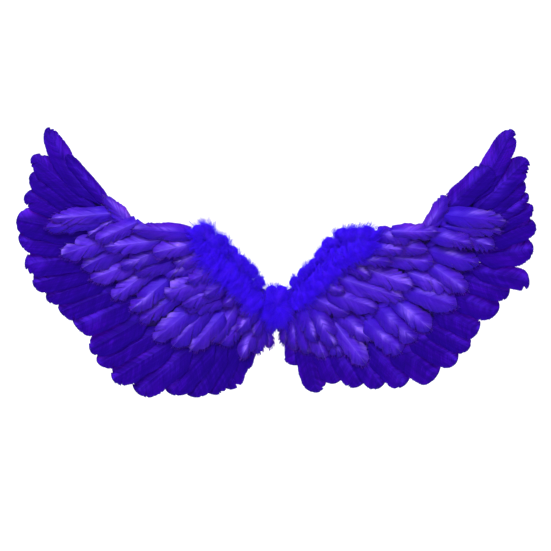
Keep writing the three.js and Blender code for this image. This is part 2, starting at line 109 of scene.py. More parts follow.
CARD_INNER = CREASE_GAP / 2 / math.cos(SWEEP) + CARD_THICKNESS * math.tan(SWEEP)
WING_SHIFT = (PATCH_THICKNESS + CLEARANCE) / math.cos(SWEEP)
REST_HEIGHT = CARD_THICKNESS + CLEARANCE

# Card outline from the crease's top round the wing: out and up, as shares of the half span and height.
CARD_OUTLINE = [
    [0.077, 0.104], [0.174, 0.185], [0.348, 0.27], [0.503, 0.285], [0.61, 0.345], [0.7, 0.43],
    [0.76, 0.435], [0.8, 0.35], [0.785, 0.19], [0.7, 0.05], [0.54, -0.095], [0.31, -0.18],
    [0.12, -0.15],
]
CARD_INNER_TOP = 0.059
CARD_INNER_BOTTOM = -0.07

# Route of an arm loop: behind and up, as shares of its reach and height.
STRAP_ROUTE = [
    [0, 0.21], [0, 0.37], [0.09, 0.46], [0.36, 0.5], [0.73, 0.43], [0.96, 0.21], [1, -0.02],
    [0.92, -0.25], [0.68, -0.42], [0.36, -0.5], [0.09, -0.43], [0, -0.31], [0, -0.15],
]

# Sections along a piece: place along it, width and thickness, as shares.
FLIGHT_SECTIONS = [
    [0, 0.12, 1], [0.14, 0.2, 1], [0.32, 0.85, 1], [0.6, 1, 1], [0.85, 0.94, 1], [0.96, 0.62, 1],
    [1, 0.22, 1],
]
COVERT_SECTIONS = [
    [0, 0.45, 1], [0.15, 0.75, 1], [0.5, 1, 1], [0.85, 0.85, 1], [1, 0.25, 1],
]
LOCK_SECTIONS = [
    [0, 0.6, 0.6], [0.35, 1, 1], [0.75, 0.75, 0.7], [1, 0.2, 0.2],
]
TAPE_SECTIONS = [
    [0, 1, 1], [1, 1, 1],
]


def kind(sections, crown, width, thickness, roll=0.0, sewn=1.0):
    """What the pieces of one kind share. The crown is across and rise, from the middle outwards."""
    return SimpleNamespace(
        sections=np.array(sections).T,
        crown=np.array(crown).T,
        width=width,
        thickness=thickness,
        roll=roll,
        sewn=sewn,
    )


VANE_CROWN = [[0, 1], [1, 0.5]]
FLIGHT = kind(FLIGHT_SECTIONS, VANE_CROWN, FLIGHT_WIDTH, VANE_THICKNESS, FEATHER_ROLL)
COVERT = kind(COVERT_SECTIONS, VANE_CROWN, COVERT_WIDTH, VANE_THICKNESS, FEATHER_ROLL, COVERT_SEAM)
LOCK = kind(LOCK_SECTIONS, [[0, 1], [0.8, 0.7], [1, 0]], LOCK_WIDTH, LOCK_THICKNESS)
TAPE = kind(TAPE_SECTIONS, [[0, 1], [1, 1]], TAPE_WIDTH, TAPE_THICKNESS)

# Feathers from the top of the wing round to its crease: tip out, tip up, root out, root up and width, and
# for two of them a bow.
LEFT_FLIGHTS = [
    [0.814, 0.578, 0.602, 0.344, 0.45],
    [0.884, 0.681, 0.644, 0.367, 0.78, 0.07],
    [0.942, 0.574, 0.663, 0.354, 0.85],
    [0.95, 0.504, 0.671, 0.33, 0.82],
    [0.965, 0.437, 0.673, 0.304, 0.85],
    [1, 0.341, 0.667, 0.276, 1.05],
    [0.992, 0.267, 0.656, 0.248, 0.97],
    [0.969, 0.178, 0.64, 0.219, 1],
    [0.938, 0.104, 0.617, 0.187, 0.88],
    [0.888, 0.052, 0.582, 0.154, 0.85],
    [0.834, 0, 0.544, 0.115, 0.88],
    [0.776, -0.052, 0.501, 0.067, 1.05],
    [0.721, -0.141, 0.451, 0.011, 0.97],
    [0.687, -0.193, 0.397, -0.033, 0.78],
    [0.633, -0.252, 0.342, -0.07, 0.95],
    [0.544, -0.296, 0.288, -0.096, 1.08],
    [0.42, -0.3, 0.215, -0.081, 1.05],
    [0.335, -0.314, 0.172, -0.078, 0.87],
    [0.265, -0.302, 0.137, -0.07, 0.86],
    [0.196, -0.285, 0.103, -0.063, 0.85],
    [0.143, -0.215, 0.08, -0.052, 0.65],
]
RIGHT_FLIGHTS = [
    [0.83, 0.53, 0.618, 0.345, 0.85],
    [0.908, 0.674, 0.706, 0.354, 0.85, 0.03],
    [0.966, 0.563, 0.72, 0.333, 0.85],
    [0.951, 0.484, 0.731, 0.309, 0.78],
    [0.971, 0.43, 0.735, 0.285, 0.6],
    [0.988, 0.385, 0.733, 0.259, 0.6],
    [0.993, 0.33, 0.727, 0.233, 0.9],
    [0.988, 0.232, 0.718, 0.206, 1.0],
    [0.973, 0.112, 0.7, 0.174, 0.75],
    [0.897, 0.072, 0.667, 0.141, 0.85],
    [0.852, 0, 0.625, 0.085, 0.92],
    [0.779, -0.07, 0.571, 0.035, 0.9],
    [0.745, -0.133, 0.52, -0.011, 0.8],
    [0.698, -0.181, 0.466, -0.052, 0.95],
    [0.617, -0.241, 0.404, -0.078, 1.1],
    [0.503, -0.266, 0.338, -0.093, 0.98],
    [0.41, -0.276, 0.277, -0.094, 0.9],
    [0.33, -0.272, 0.219, -0.089, 1.0],
    [0.24, -0.262, 0.164, -0.078, 0.95],
    [0.155, -0.302, 0.1, -0.063, 0.84],
    [0.074, -0.2, 0.068, -0.044, 0.68],
]
LEFT_GREATER_COVERTS = [
    [0.665, 0.425, 0.52, 0.262, 0.7],
    [0.868, 0.344, 0.636, 0.367, 0.72],
    [0.888, 0.311, 0.667, 0.337, 0.66],
    [0.729, 0.281, 0.598, 0.363, 0.66],
    [0.83, 0.211, 0.621, 0.281, 0.94],
    [0.752, 0.163, 0.574, 0.248, 0.88],
    [0.718, 0.122, 0.505, 0.204, 0.94],
    [0.636, 0.052, 0.466, 0.174, 0.77],
    [0.567, 0.007, 0.412, 0.13, 0.94],
    [0.528, -0.033, 0.366, 0.074, 0.77],
    [0.478, -0.104, 0.304, 0.033, 0.94],
    [0.404, -0.126, 0.257, 0.022, 0.83],
    [0.335, -0.141, 0.207, 0, 0.83],
    [0.253, -0.111, 0.161, 0.026, 0.72],
    [0.219, -0.119, 0.103, -0.007, 0.72],
    [0.141, -0.17, 0.068, -0.019, 0.77],
    [0.087, -0.156, 0.048, -0.022, 0.66],
    [0.031, -0.135, 0.041, -0.015, 0.5],
]
RIGHT_GREATER_COVERTS = [
    [0.656, 0.43, 0.571, 0.274, 0.65],
    [0.884, 0.333, 0.65, 0.36, 0.83],
    [0.865, 0.3, 0.645, 0.318, 0.66],
    [0.841, 0.241, 0.663, 0.3, 0.83],
    [0.78, 0.178, 0.574, 0.233, 0.88],
    [0.737, 0.081, 0.594, 0.181, 0.77],
    [0.694, 0.089, 0.509, 0.148, 0.94],
    [0.698, 0.022, 0.493, 0.089, 1],
    [0.598, -0.063, 0.455, 0.052, 0.88],
    [0.54, -0.104, 0.393, 0.015, 0.94],
    [0.485, -0.148, 0.346, -0.03, 0.94],
    [0.369, -0.104, 0.246, 0, 0.77],
    [0.35, -0.193, 0.226, -0.037, 0.83],
    [0.257, -0.163, 0.176, -0.022, 0.83],
    [0.191, -0.17, 0.137, -0.022, 0.83],
    [0.126, -0.156, 0.095, -0.015, 0.66],
    [0.079, -0.141, 0.064, -0.011, 0.61],
    [0.031, -0.12, 0.041, -0.007, 0.48],
]
LEFT_MEDIAN_COVERTS = [
    [0.702, 0.263, 0.544, 0.333, 0.72],
    [0.667, 0.241, 0.451, 0.267, 0.83],
    [0.605, 0.167, 0.435, 0.237, 0.77],
    [0.54, 0.185, 0.389, 0.256, 0.66],
    [0.551, 0.144, 0.381, 0.2, 0.77],
    [0.455, 0.156, 0.277, 0.185, 0.83],
    [0.435, 0.067, 0.25, 0.133, 1],
    [0.369, 0.026, 0.211, 0.1, 0.83],
    [0.35, 0.007, 0.172, 0.059, 0.72],
    [0.157, -0.07, 0.072, 0.022, 0.66],
    [0.095, -0.085, 0.041, 0.007, 0.61],
]
RIGHT_MEDIAN_COVERTS = [
    [0.756, 0.252, 0.602, 0.289, 0.72],
    [0.586, 0.23, 0.377, 0.263, 0.72],
    [0.609, 0.185, 0.4, 0.211, 0.88],
    [0.528, 0.096, 0.331, 0.17, 1],
    [0.493, 0.052, 0.238, 0.13, 0.94],
    [0.393, 0.011, 0.191, 0.085, 1],
    [0.284, -0.007, 0.122, 0.063, 0.72],
    [0.23, -0.126, 0.153, 0.015, 0.77],
    [0.161, -0.111, 0.103, 0.022, 0.77],
]
LEFT_LESSER_COVERTS = [
    [0.56, 0.306, 0.335, 0.292, 0.72],
    [0.482, 0.219, 0.296, 0.263, 0.77],
    [0.404, 0.185, 0.25, 0.222, 0.77],
    [0.35, 0.111, 0.219, 0.17, 0.72],
    [0.284, 0.059, 0.172, 0.133, 0.66],
    [0.211, 0.026, 0.122, 0.096, 0.61],
    [0.141, -0.015, 0.072, 0.059, 0.55],
]
RIGHT_LESSER_COVERTS = [
    [0.625, 0.296, 0.45, 0.3, 0.66],
    [0.524, 0.274, 0.393, 0.292, 0.72],
    [0.497, 0.23, 0.369, 0.244, 0.66],
    [0.447, 0.185, 0.308, 0.2, 0.55],
    [0.369, 0.133, 0.265, 0.178, 0.55],
    [0.265, 0.074, 0.176, 0.111, 0.55],
]
LEFT_LOCKS = [
    [0.335, 0.319, 0.284, 0.267, 1],
    [0.311, 0.207, 0.277, 0.267, 1],
    [0.292, 0.333, 0.265, 0.256, 1],
    [0.273, 0.156, 0.242, 0.23, 1],
    [0.215, 0.293, 0.23, 0.23, 1],
    [0.242, 0.115, 0.211, 0.193, 1],
    [0.176, 0.252, 0.195, 0.2, 1],
    [0.211, 0.085, 0.176, 0.159, 1],
    [0.13, 0.211, 0.161, 0.167, 1],
    [0.176, 0.056, 0.141, 0.122, 1],
    [0.087, 0.174, 0.126, 0.133, 0.9],
    [0.141, 0.022, 0.106, 0.089, 0.9],
    [0.052, 0.122, 0.095, 0.1, 0.7],
    [0.106, -0.007, 0.078, 0.059, 0.7],
]
RIGHT_LOCKS = [
    [0.373, 0.322, 0.346, 0.259, 1],
    [0.377, 0.207, 0.338, 0.256, 1],
    [0.315, 0.319, 0.311, 0.252, 1],
    [0.315, 0.178, 0.296, 0.241, 1],
    [0.25, 0.319, 0.269, 0.244, 1],
    [0.269, 0.156, 0.253, 0.222, 1],
    [0.184, 0.274, 0.23, 0.226, 1],
    [0.23, 0.122, 0.219, 0.189, 1],
    [0.157, 0.233, 0.199, 0.196, 1],
    [0.195, 0.089, 0.184, 0.156, 1],
    [0.126, 0.189, 0.164, 0.163, 0.9],
    [0.161, 0.056, 0.149, 0.122, 0.9],
    [0.083, 0.152, 0.13, 0.13, 0.9],
    [0.126, 0.026, 0.114, 0.089, 0.9],
    [0.052, 0.122, 0.095, 0.1, 0.7],
    [0.083, 0, 0.079, 0.063, 0.7],
]
TUFT_LOCKS = [
    [-0.03, 0.104, 0, 0.033, 0.8],
    [0.03, 0.104, 0, 0.033, 0.8],
    [-0.056, 0, -0.006, 0.026, 0.8],
    [0.056, 0, 0.006, 0.026, 0.8],
    [-0.041, -0.044, -0.01, 0.015, 0.8],
    [0.041, -0.044, 0.01, 0.015, 0.8],
    [0, -0.067, 0, 0.007, 0.8],
]

# How the feathers look: barb rows, how far a barb sweeps towards the tip, where the vane widens, where
# and how sharply it rounds off, how slanted its tip is and the radius of the shaft. Then where its splits
# are, how many it has, how wide and how deep, how ragged and uneven its edges are, how far they bend
# down, and how many loose barbs stand out and how far.
FLIGHT_LOOK = SimpleNamespace(
    rows=62, reach=0.15, widens=(0.06, 0.42), tip=(0.72, 0.86), round=(1.8, 2.6), slant=0.05, shaft=0.0009,
    split=(0.75, 0.95), splits=4.0, gap=(0.006, 0.018), depth=(0.08, 0.3), ragged=0.025, uneven=0.05,
    bend=0.0007, fringe=60, stray=(0.0003, 0.0016),
)
COVERT_LOOK = SimpleNamespace(
    rows=40, reach=0.24, widens=(-0.6, 0.3), tip=(0.5, 0.72), round=(1.8, 2.6), slant=0.08, shaft=0.0006,
    split=(0.35, 0.95), splits=5.0, gap=(0.01, 0.035), depth=(0.12, 0.5), ragged=0.05, uneven=0.14,
    bend=0.0007, fringe=260, stray=(0.0007, 0.0036),
)

# The highest flight feather of each wing is more pointed than the others.
POINTED = ("left_flight_02", "right_flight_02")
POINTED_LOOK = SimpleNamespace(
    **{**vars(FLIGHT_LOOK), "tip": (0.72, 0.76), "round": (1.7, 1.8), "slant": 0.02}
)

# Shape of a vane: its columns between shaft and edge, its thickness at the edge and what the middle adds,
# how uneven its rows are, and the height and length of its waves.
VANE_COLUMNS = (0.3, 0.6, 0.88, 0.985, 1)
VANE_EDGE = 0.00012
VANE_MIDDLE = 0.00014
ROW_RIPPLE = 0.00008
WAVE_HEIGHT = 0.00022
WAVE_LENGTH = (0.004, 0.008)
NARROWEST_VANE = 1.15
LEAST_KEPT = 0.3

# Loose barbs of a vane: the share on its upper edge, how far apart they point, and their radius.
UPPER_FRINGE = 0.15
FRINGE_SPREAD = 0.16
FRINGE_RADIUS = (0.0001, 0.00018)

# Clefts of some flight feathers, in their upper and their lower half: place, width and depth.
CLEFTS = {
    "left_flight_02": ((), ()),
    "right_flight_02": ((), ([0.86, 0.02, 0.6],)),
    "right_flight_03": ((), ([0.88, 0.02, 0.5],)),
    "right_flight_09": ((), ([0.84, 0.025, 0.55],)),
}

# Camera: as far as a long lens needs, aimed at the middle of the view.
VIEW_WIDTH = 0.6394
VIEW_MIDDLE = Vector((-0.0012, -0.025, 0.0424))
VIEW_DISTANCE = 3.0
SENSOR_WIDTH = 36
FLOOR_HEIGHT = -1.2
FLOOR_RADIUS = 8.4


def added(name, data):
    """A new object in the scene."""
    obj = bpy.data.objects.new(name, data)
    bpy.context.collection.objects.link(obj)
    return obj


camera = added("camera", bpy.data.cameras.new("camera"))
camera.data.sensor_width = SENSOR_WIDTH
camera.data.lens = SENSOR_WIDTH * VIEW_DISTANCE / VIEW_WIDTH
camera.data.clip_end = 50
camera.location = VIEW_MIDDLE - Vector((0, VIEW_DISTANCE, 0))
camera.rotation_euler = (math.pi / 2, 0, 0)
bpy.context.scene.camera = camera
bpy.context.scene.view_settings.view_transform = "Standard"


# Laying.
def piece_between(root, tip, kind, width=1.0, bow=0.0):
    """A piece on the wing's plane, with a straight or bowed axis and sections along it."""
    root, tip = np.asarray(root, float), np.asarray(tip, float)
    length = math.hypot(*(tip - root))
    along = (tip - root) / length
    at, wide, thick = kind.sections
    return SimpleNamespace(
        root=root,
        along=along,
        lower=np.array([along[1], -along[0]]),
        length=length,
        kind=kind,
        at=at * length,
        half=wide * width * kind.width / 2,
        widest=width * kind.width / 2,
        bend=bow * length,
        bow=4 * bow * length * at * (1 - at),
        thick=thick * kind.thickness,
        height=np.full(len(at), REST_HEIGHT),
    )


def piece_of(row, kind):
    tip_out, tip_up, root_out, root_up, width, *bow = row
    root = (root_out * PLANE_SPAN, root_up * WING_HEIGHT)
    tip = (tip_out * PLANE_SPAN, tip_up * WING_HEIGHT)
    return piece_between(root, tip, kind, width, *bow)


def at_distance(piece, distance, *names):
    return [np.interp(distance, piece.at, getattr(piece, name)) for name in names]


def place_on(piece, distance, across):
    return piece.root + distance[..., None] * piece.along + across[..., None] * piece.lower


def top_of(piece, places):
    """Heights of a laid piece's upper side over places of the plane, or nothing where it doesn't reach."""
    offset = places - piece.root
    distance = offset @ piece.along
    half, bow, thick, height = at_distance(piece, distance, "half", "bow", "thick", "height")
    across = offset @ piece.lower - bow
    crown = np.interp(np.abs(across) / half, *piece.kind.crown)
    beyond = (distance < -FOOTPRINT_MARGIN) | (distance > piece.length + FOOTPRINT_MARGIN)
    missed = beyond | (np.abs(across) > half + FOOTPRINT_MARGIN)
    return np.where(missed, -np.inf, height + across * piece.kind.roll + thick * crown)


def highest(pieces, places):
    top = np.full(places.shape[:-1], -np.inf)
    for piece in pieces:
        top = np.maximum(top, top_of(piece, places))
    return top


def settle(piece, support, rest):
    """Lowers a piece onto what lies below it, with no stretch steeper than allowed."""
    piece.height = rest(piece.at / piece.length) * np.ones(len(piece.at))
    for i, (start, end) in enumerate(zip(piece.at, piece.at[1:])):
        distance = np.linspace(start, end, math.ceil((end - start) / FEEL_STEP) + 1)[:, None]
        half, bow = at_distance(piece, distance, "half", "bow")
        across = half * np.linspace(-1, 1, 2 * FEEL_ACROSS + 1)
        places = place_on(piece, distance + 0 * across, across + bow)
        need = support(places, distance / piece.length) + CLEARANCE - across * piece.kind.roll
        piece.height[i : i + 2] = np.maximum(piece.height[i : i + 2], need.max())
    steps = STEEPEST_RISE * np.diff(piece.at)
    for i, step in enumerate(steps):
        piece.height[i + 1] = max(piece.height[i + 1], piece.height[i] - step)
    for i, step in reversed(list(enumerate(steps))):
        piece.height[i] = max(piece.height[i], piece.height[i + 1] - step)


def tape_between(start, end):
    step = (end - start) / math.hypot(*(end - start)) * TAPE_OVERRUN
    return piece_between(start - step, end + step, TAPE)


def lay_row(rows, kind, lift, support):
    """Feathers sewn to a tape, laid from the last to the first, each over the next one."""
    feathers = [piece_of(row, kind) for row in reversed(rows)]
    tapes = [tape_between(a.root, b.root) for a, b in zip(feathers, feathers[1:])]
    for tape in tapes:
        settle(tape, support, lambda share: REST_HEIGHT)
    sewn = []
    for i, feather in enumerate(feathers):
        ends = [tape.height[-1] for tape in tapes[max(0, i - 1) : i]]
        ends += [tape.height[0] for tape in tapes[i : i + 1]]
        base = max(ends) + SEAM_DEPTH

        def under(places, share):
            own = np.where(share > kind.sewn, highest(sewn, places), -np.inf)
            return np.maximum(support(places, share), own)

        settle(feather, under, lambda share: base + lift * share * (2 - share))
        sewn.append(feather)
    for tape, a, b in zip(tapes, feathers, feathers[1:]):
        tape.height = np.array([a.height[0], b.height[0]]) - SEAM_DEPTH
    return SimpleNamespace(feathers=feathers, tapes=tapes)


def spline(points, count):
    """Points of a smooth curve through the given ones."""
    points = np.asarray(points, float)
    padded = np.vstack([points[:1], points, points[-1:]])
    place = np.linspace(0, len(points) - 1, count + 1)
    span = np.minimum(place.astype(int), len(points) - 2)
    t = (place - span)[:, None]
    before, here, there, after = (padded[span + i] for i in range(4))
    leave, arrive = (there - before) / 2, (after - here) / 2
    cube = (2 * here - 2 * there + leave + arrive) * t**3
    return cube + (3 * there - 3 * here - 2 * leave - arrive) * t**2 + leave * t + here


def card_outline(count):
    round_wing = np.array(CARD_OUTLINE) * [PLANE_SPAN, WING_HEIGHT]
    top = [CARD_INNER, CARD_INNER_TOP * WING_HEIGHT]
    bottom = [CARD_INNER, CARD_INNER_BOTTOM * WING_HEIGHT]
    return spline(np.vstack([top, round_wing, bottom]), count)


def inside(outline, places):
    out, up = places[..., 0], places[..., 1]
    within = np.zeros(out.shape, bool)
    for a, b in zip(outline, np.roll(outline, 1, axis=0)):
        if a[1] != b[1]:
            crosses = (a[1] > up) != (b[1] > up)
            within ^= crosses & (out < (b[0] - a[0]) * (up - a[1]) / (b[1] - a[1]) + a[0])
    return within


def lay_wing(flights, greater, median, lesser, locks):
    outline = card_outline(2 * (len(CARD_OUTLINE) + 2))
    laid = []

    def support(places, share):
        return np.maximum(np.where(inside(outline, places), CARD_THICKNESS, -np.inf), highest(laid, places))

    wing = SimpleNamespace(laid=laid, flights=[])
    for row in reversed(flights):
        flight = piece_of(row, FLIGHT)
        settle(flight, support, lambda share: REST_HEIGHT - FLIGHT_DROOP * share**2)
        laid.append(flight)
        wing.flights.insert(0, flight)
    for name, rows, kind, lift in (
        ("greater", greater, COVERT, COVERT_LIFT),
        ("median", median, COVERT, COVERT_LIFT),
        ("lesser", lesser, COVERT, COVERT_LIFT),
        ("fluff", locks, LOCK, LOCK_LIFT),
    ):
        row = lay_row(rows, kind, lift, support)
        laid.extend(row.feathers + row.tapes)
        setattr(wing, name, row)
    return wing


def lay_tuft(left, right):
    """Lays the tuft over both wings. It faces straight ahead, so the swept wings are felt that way."""
    cos, sin = math.cos(SWEEP), math.sin(SWEEP)

    def ahead(wing, out, up):
        first = highest(wing.laid, np.stack([out / cos, up], axis=-1))
        lean = np.maximum(0, first) * sin
        tops = []
        for share in (0, 0.25, 0.5, 0.75, 1):
            along = (out + share * lean) / cos
            tops.append(along * sin + highest(wing.laid, np.stack([along, up], axis=-1)) * cos)
        return np.maximum.reduce(tops)

    def support(places, share):
        across, up = places[..., 0], places[..., 1]
        return np.maximum(ahead(left, -across, up), ahead(right, across, up))

    locks = [piece_of(row, LOCK) for row in TUFT_LOCKS]
    for lock in locks:
        settle(lock, support, lambda share: REST_HEIGHT)
    hub = max(lock.height[0] for lock in locks)
    for lock in locks:
        settle(lock, support, lambda share: hub)
    return locks


# From a wing's plane to the world. The tuft's plane isn't swept.
def in_world(place, front, side, sweep=SWEEP):
    out, up, cos, sin = place[..., 0], place[..., 1], math.cos(sweep), math.sin(sweep)
    return np.stack([side * (out * cos - front * sin), -(out * sin + front * cos) - WING_SHIFT, up], axis=-1)


def height_at(piece, distance):
    """Height of a piece's underside, with the bends between its sections rounded."""
    spread = np.linspace(-1, 1, 9) * piece.length * 0.05
    return np.mean([np.interp(distance + d, piece.at, piece.height) for d in spread], axis=0)


def smooth(low, high, x):
    t = np.clip((x - low) / (high - low), 0, 1)
    return t * t * (3 - 2 * t)


def full_turn(count):
    return np.linspace(0, 2 * math.pi, count, endpoint=False)


def squared(wave, power):
    """A wave made squarer. The smaller the power, the squarer it gets."""
    return np.sign(wave) * np.abs(wave) ** power


# Meshes. A body is rings of as many points each, closed at both ends.
def body(rings, **values):
    """Vertices, faces and values at the vertices of a closed body, with its faces pointing out."""
    count, around = rings.shape[:2]
    points = rings.reshape(-1, 3)
    start = np.arange(count * around).reshape(count, around)
    turned = np.roll(start, -1, axis=1)
    quads = np.stack([start[:-1], turned[:-1], turned[1:], start[1:]], axis=-1).reshape(-1, 4)
    caps = [start[0][::-1].tolist(), start[-1].tolist()]
    middle = points.mean(axis=0)
    a, b, c, d = (points[quads[:, i]] - middle for i in range(4))
    outward = np.einsum("ij,ij->", a, np.cross(b, c)) + np.einsum("ij,ij->", a, np.cross(c, d))
    faces = quads.tolist() + caps
    if outward < 0:
        faces = [face[::-1] for face in faces]
    flat = {name: np.broadcast_to(value, (count, around)).reshape(-1) for name, value in values.items()}
    return SimpleNamespace(points=points, faces=faces, values=flat)


def joined(bodies):
    """Bodies as one, with the values that the first one has."""
    points = np.vstack([b.points for b in bodies])
    faces, first = [], 0
    for b in bodies:
        faces.extend([first + i for i in face] for face in b.faces)
        first += len(b.points)
    names = bodies[0].values
    return SimpleNamespace(
        points=points, faces=faces, values={n: np.concatenate([b.values[n] for b in bodies]) for n in names}
    )


def piece(name, shape, material, slot, nodes):
    """A Blender object that stands for the given nodes of the solids."""
    mesh = bpy.data.meshes.new(name)
    mesh.from_pydata(shape.points.tolist(), [], shape.faces)
    for key, value in shape.values.items():
        mesh.attributes.new(key, "FLOAT", "POINT").data.foreach_set("value", value.astype(np.float32))
    mesh.shade_smooth()
    mesh.materials.append(material)
    obj = added(name, mesh)
    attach(obj, "root")
    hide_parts(*nodes)
    return obj


def split_edge(look, rng, place, clefts):
    """How much of its width a vane keeps at each barb row: ragged, with splits and clefts between barbs."""
    kept = 1 - look.ragged * np.abs(rng.normal(size=place.shape))
    kept -= look.uneven * (0.5 + 0.5 * np.sin(place * rng.uniform(9, 26) + rng.uniform(0, 6)))
    count = rng.poisson(look.splits / 2)
    splits = [[rng.uniform(*limits) for limits in (look.split, look.gap, look.depth)] for _ in range(count)]
    for middle, gap, depth in [*splits, *clefts]:
        kept -= depth * np.exp(-(((place - middle) / gap) ** 2))
    return np.clip(kept, LEAST_KEPT, 1)


def feather(laid, look, side, rng, clefts=((), ())):
    """A closed vane whose rows follow the barbs, with a raised shaft and clefts in its two halves."""
    start = np.linspace(0, 1, look.rows)
    end = start + look.reach * (1 - start**6) * smooth(0.02, 0.2, start)
    tip, power, slant = rng.uniform(*look.tip), rng.uniform(*look.round), rng.uniform(-look.slant, look.slant)
    wide = smooth(*look.widens, end) * np.sqrt(1 - np.clip((end - tip) / (1 - tip), 0, 1) ** power)
    shaft = look.shaft * (1 - 0.8 * start)
    across, along, edge, stem = [], [], [], []
    for sign, own in zip((-1, 1), clefts):
        half = np.maximum(wide * laid.widest * split_edge(look, rng, start, own), NARROWEST_VANE * shaft)
        columns = [0 * shaft, 0.55 * shaft, shaft]
        columns += [shaft + share * (half - shaft) for share in VANE_COLUMNS]
        y = np.stack(columns, axis=1)
        share = y / half[:, None]
        across.append(sign * y)
        slanted = sign * slant * y / laid.widest * start[:, None] ** 4
        along.append(start[:, None] + (end - start)[:, None] * share**1.15 + slanted)
        edge.append(sign * share)
        stem.append(np.where(y < 0.8 * shaft[:, None], 1.0, np.where(y <= shaft[:, None], 0.5, 0.0)))

    def over(pair):
        return np.hstack([pair[0][:, ::-1], pair[1][:, 1:]])

    across, along, edge, stem = map(over, (across, along, edge, stem))
    ripple = rng.normal(size=(look.rows, 2)) * ROW_RIPPLE
    ripple = np.where(across < 0, ripple[:, :1], ripple[:, 1:])
    phase = along * laid.length / rng.uniform(*WAVE_LENGTH) + rng.uniform(0, 6)
    wave = WAVE_HEIGHT * np.sin(phase) * np.sign(across)
    away = np.abs(across) / laid.widest
    middle = laid.kind.thickness * (0.62 - 0.26 * away**2) - look.bend * edge**4 + away * (ripple + wave)
    vane = VANE_EDGE + VANE_MIDDLE * (1 - away)
    bulge = shaft[:, None] * np.sqrt(np.clip(1 - (across / shaft[:, None]) ** 2, 0, 1))
    base = height_at(laid, along * laid.length) + across * laid.kind.roll
    place = place_on(laid, along * laid.length, across + 4 * laid.bend * along * (1 - along))
    upper = in_world(place, base + middle + vane + 0.5 * bulge, side)
    under = in_world(place, base + middle - vane - 0.6 * bulge, side)

    def around(grid):
        return np.concatenate([grid, grid[:, ::-1]], axis=1)

    rows = np.broadcast_to(start[:, None] * laid.length, across.shape)
    tone = rng.uniform(0, 1)
    values = dict(along=along, across=across, barb=rows, edge=edge, stem=stem)
    # Where painted highlight and painted shade fall on the vane.
    values.update(glow=glow_over(along, edge, rng), deep=deep_over(along, edge, rng))
    rings = np.concatenate([upper, under[:, ::-1]], axis=1)
    vane_body = body(rings, tone=tone, **{name: around(grid) for name, grid in values.items()})
    spine = np.stack([place[..., 0], place[..., 1], base + middle], axis=-1)
    return joined([vane_body, fringe(spine, values, side, tone, look, rng)])


def glow_over(along, edge, rng):
    """Where a vane catches the light: an uneven band beside the shaft."""
    middle, width = rng.uniform(-0.7, 0.0), rng.uniform(0.18, 0.42)
    drift = 0.25 * np.sin(along * rng.uniform(2, 6) + rng.uniform(0, 6))
    band = np.exp(-(((edge - middle - drift) / width) ** 2))
    patchy = 0.55 + 0.45 * np.sin(along * rng.uniform(5, 13) + rng.uniform(0, 6))
    return band * patchy * smooth(0.1, 0.5, along) * rng.uniform(0.25, 1)


def deep_over(along, edge, rng):
    """Where a vane turns into the shade: its lower edge and, in part, its root."""
    low = smooth(rng.uniform(-0.3, 0.5), 1.2, edge) * rng.uniform(0.4, 1.0)
    root = (1 - smooth(0.1, rng.uniform(0.35, 0.8), along)) * rng.uniform(0.4, 0.95)
    return np.maximum(low, root)


def fringe(spine, values, side, tone, look, rng):
    """Loose barbs that stand out past the edges of a vane, most of them near its tip."""
    row = (len(spine) * rng.uniform(0.12, 1, look.fringe) ** 0.6).astype(int).clip(0, len(spine) - 1)
    edge = rng.choice([0, spine.shape[1] - 1], look.fringe, p=[UPPER_FRINGE, 1 - UPPER_FRINGE])
    inner = np.where(edge == 0, 3, spine.shape[1] - 4)
    leave, arrive = spine[row, inner], spine[row, edge]
    run = arrive - leave
    run /= np.linalg.norm(run, axis=1, keepdims=True) + 1e-9
    run += rng.normal(0, FRINGE_SPREAD, run.shape) * [1, 1, 0.4]
    end = arrive + run * rng.uniform(*look.stray, look.fringe)[:, None]
    path = np.stack([leave, end], axis=1)
    width = rng.uniform(*FRINGE_RADIUS, look.fringe)[:, None] * [1, 0.5]
    here = {name: grid[row, edge] for name, grid in values.items()}
    # Loose barbs take part of the painted shade of their vane.
    here.update(edge=0.6, stem=0.0, tone=tone, deep=0.6 * here["deep"])
    return strands(path, width, side, SWEEP, here)


def strands(spine, width, side, sweep, values):
    """Thin closed barbs along spines on a wing's plane, one value of each kind for each barb."""
    count, points = spine.shape[:2]
    tangent = np.gradient(spine, axis=1)
    tangent /= np.linalg.norm(tangent, axis=-1, keepdims=True) + 1e-9
    sideways = np.stack([-tangent[..., 1], tangent[..., 0], 0 * tangent[..., 0]], axis=-1)
    sideways /= np.linalg.norm(sideways, axis=-1, keepdims=True) + 1e-9
    normal = np.cross(tangent, sideways)
    turns = [0, 2 * math.pi / 3, 4 * math.pi / 3]
    ring = [spine + width[..., None] * (sideways * math.cos(a) + normal * math.sin(a)) for a in turns]
    rings = np.stack(ring, axis=2)
    world = in_world(rings, rings[..., 2], side, sweep)
    first = np.arange(count * points * 3).reshape(count, points, 3)
    turned = np.roll(first, -1, axis=2)
    quads = np.stack([first[:, :-1], turned[:, :-1], turned[:, 1:], first[:, 1:]], axis=-1).reshape(-1, 4)
    caps = np.concatenate([first[:, 0, ::-1], first[:, -1]])
    if side < 0:
        quads, caps = quads[:, ::-1], caps[:, ::-1]
    shape = (count, points, 3)
    flat = {}
    for name, value in values.items():
        value = np.asarray(value, float)
        value = value.reshape(value.shape + (1,) * (3 - value.ndim)) if value.ndim else value
        flat[name] = np.broadcast_to(value, shape).reshape(-1)
    return SimpleNamespace(points=world.reshape(-1, 3), faces=quads.tolist() + caps.tolist(), values=flat)


def feather_row(row, side, rng):
    bodies = [feather(laid, COVERT_LOOK, side, rng) for laid in row.feathers]
    for tape in row.tapes:
        bodies.append(strip(tape, side))
    return joined(bodies)


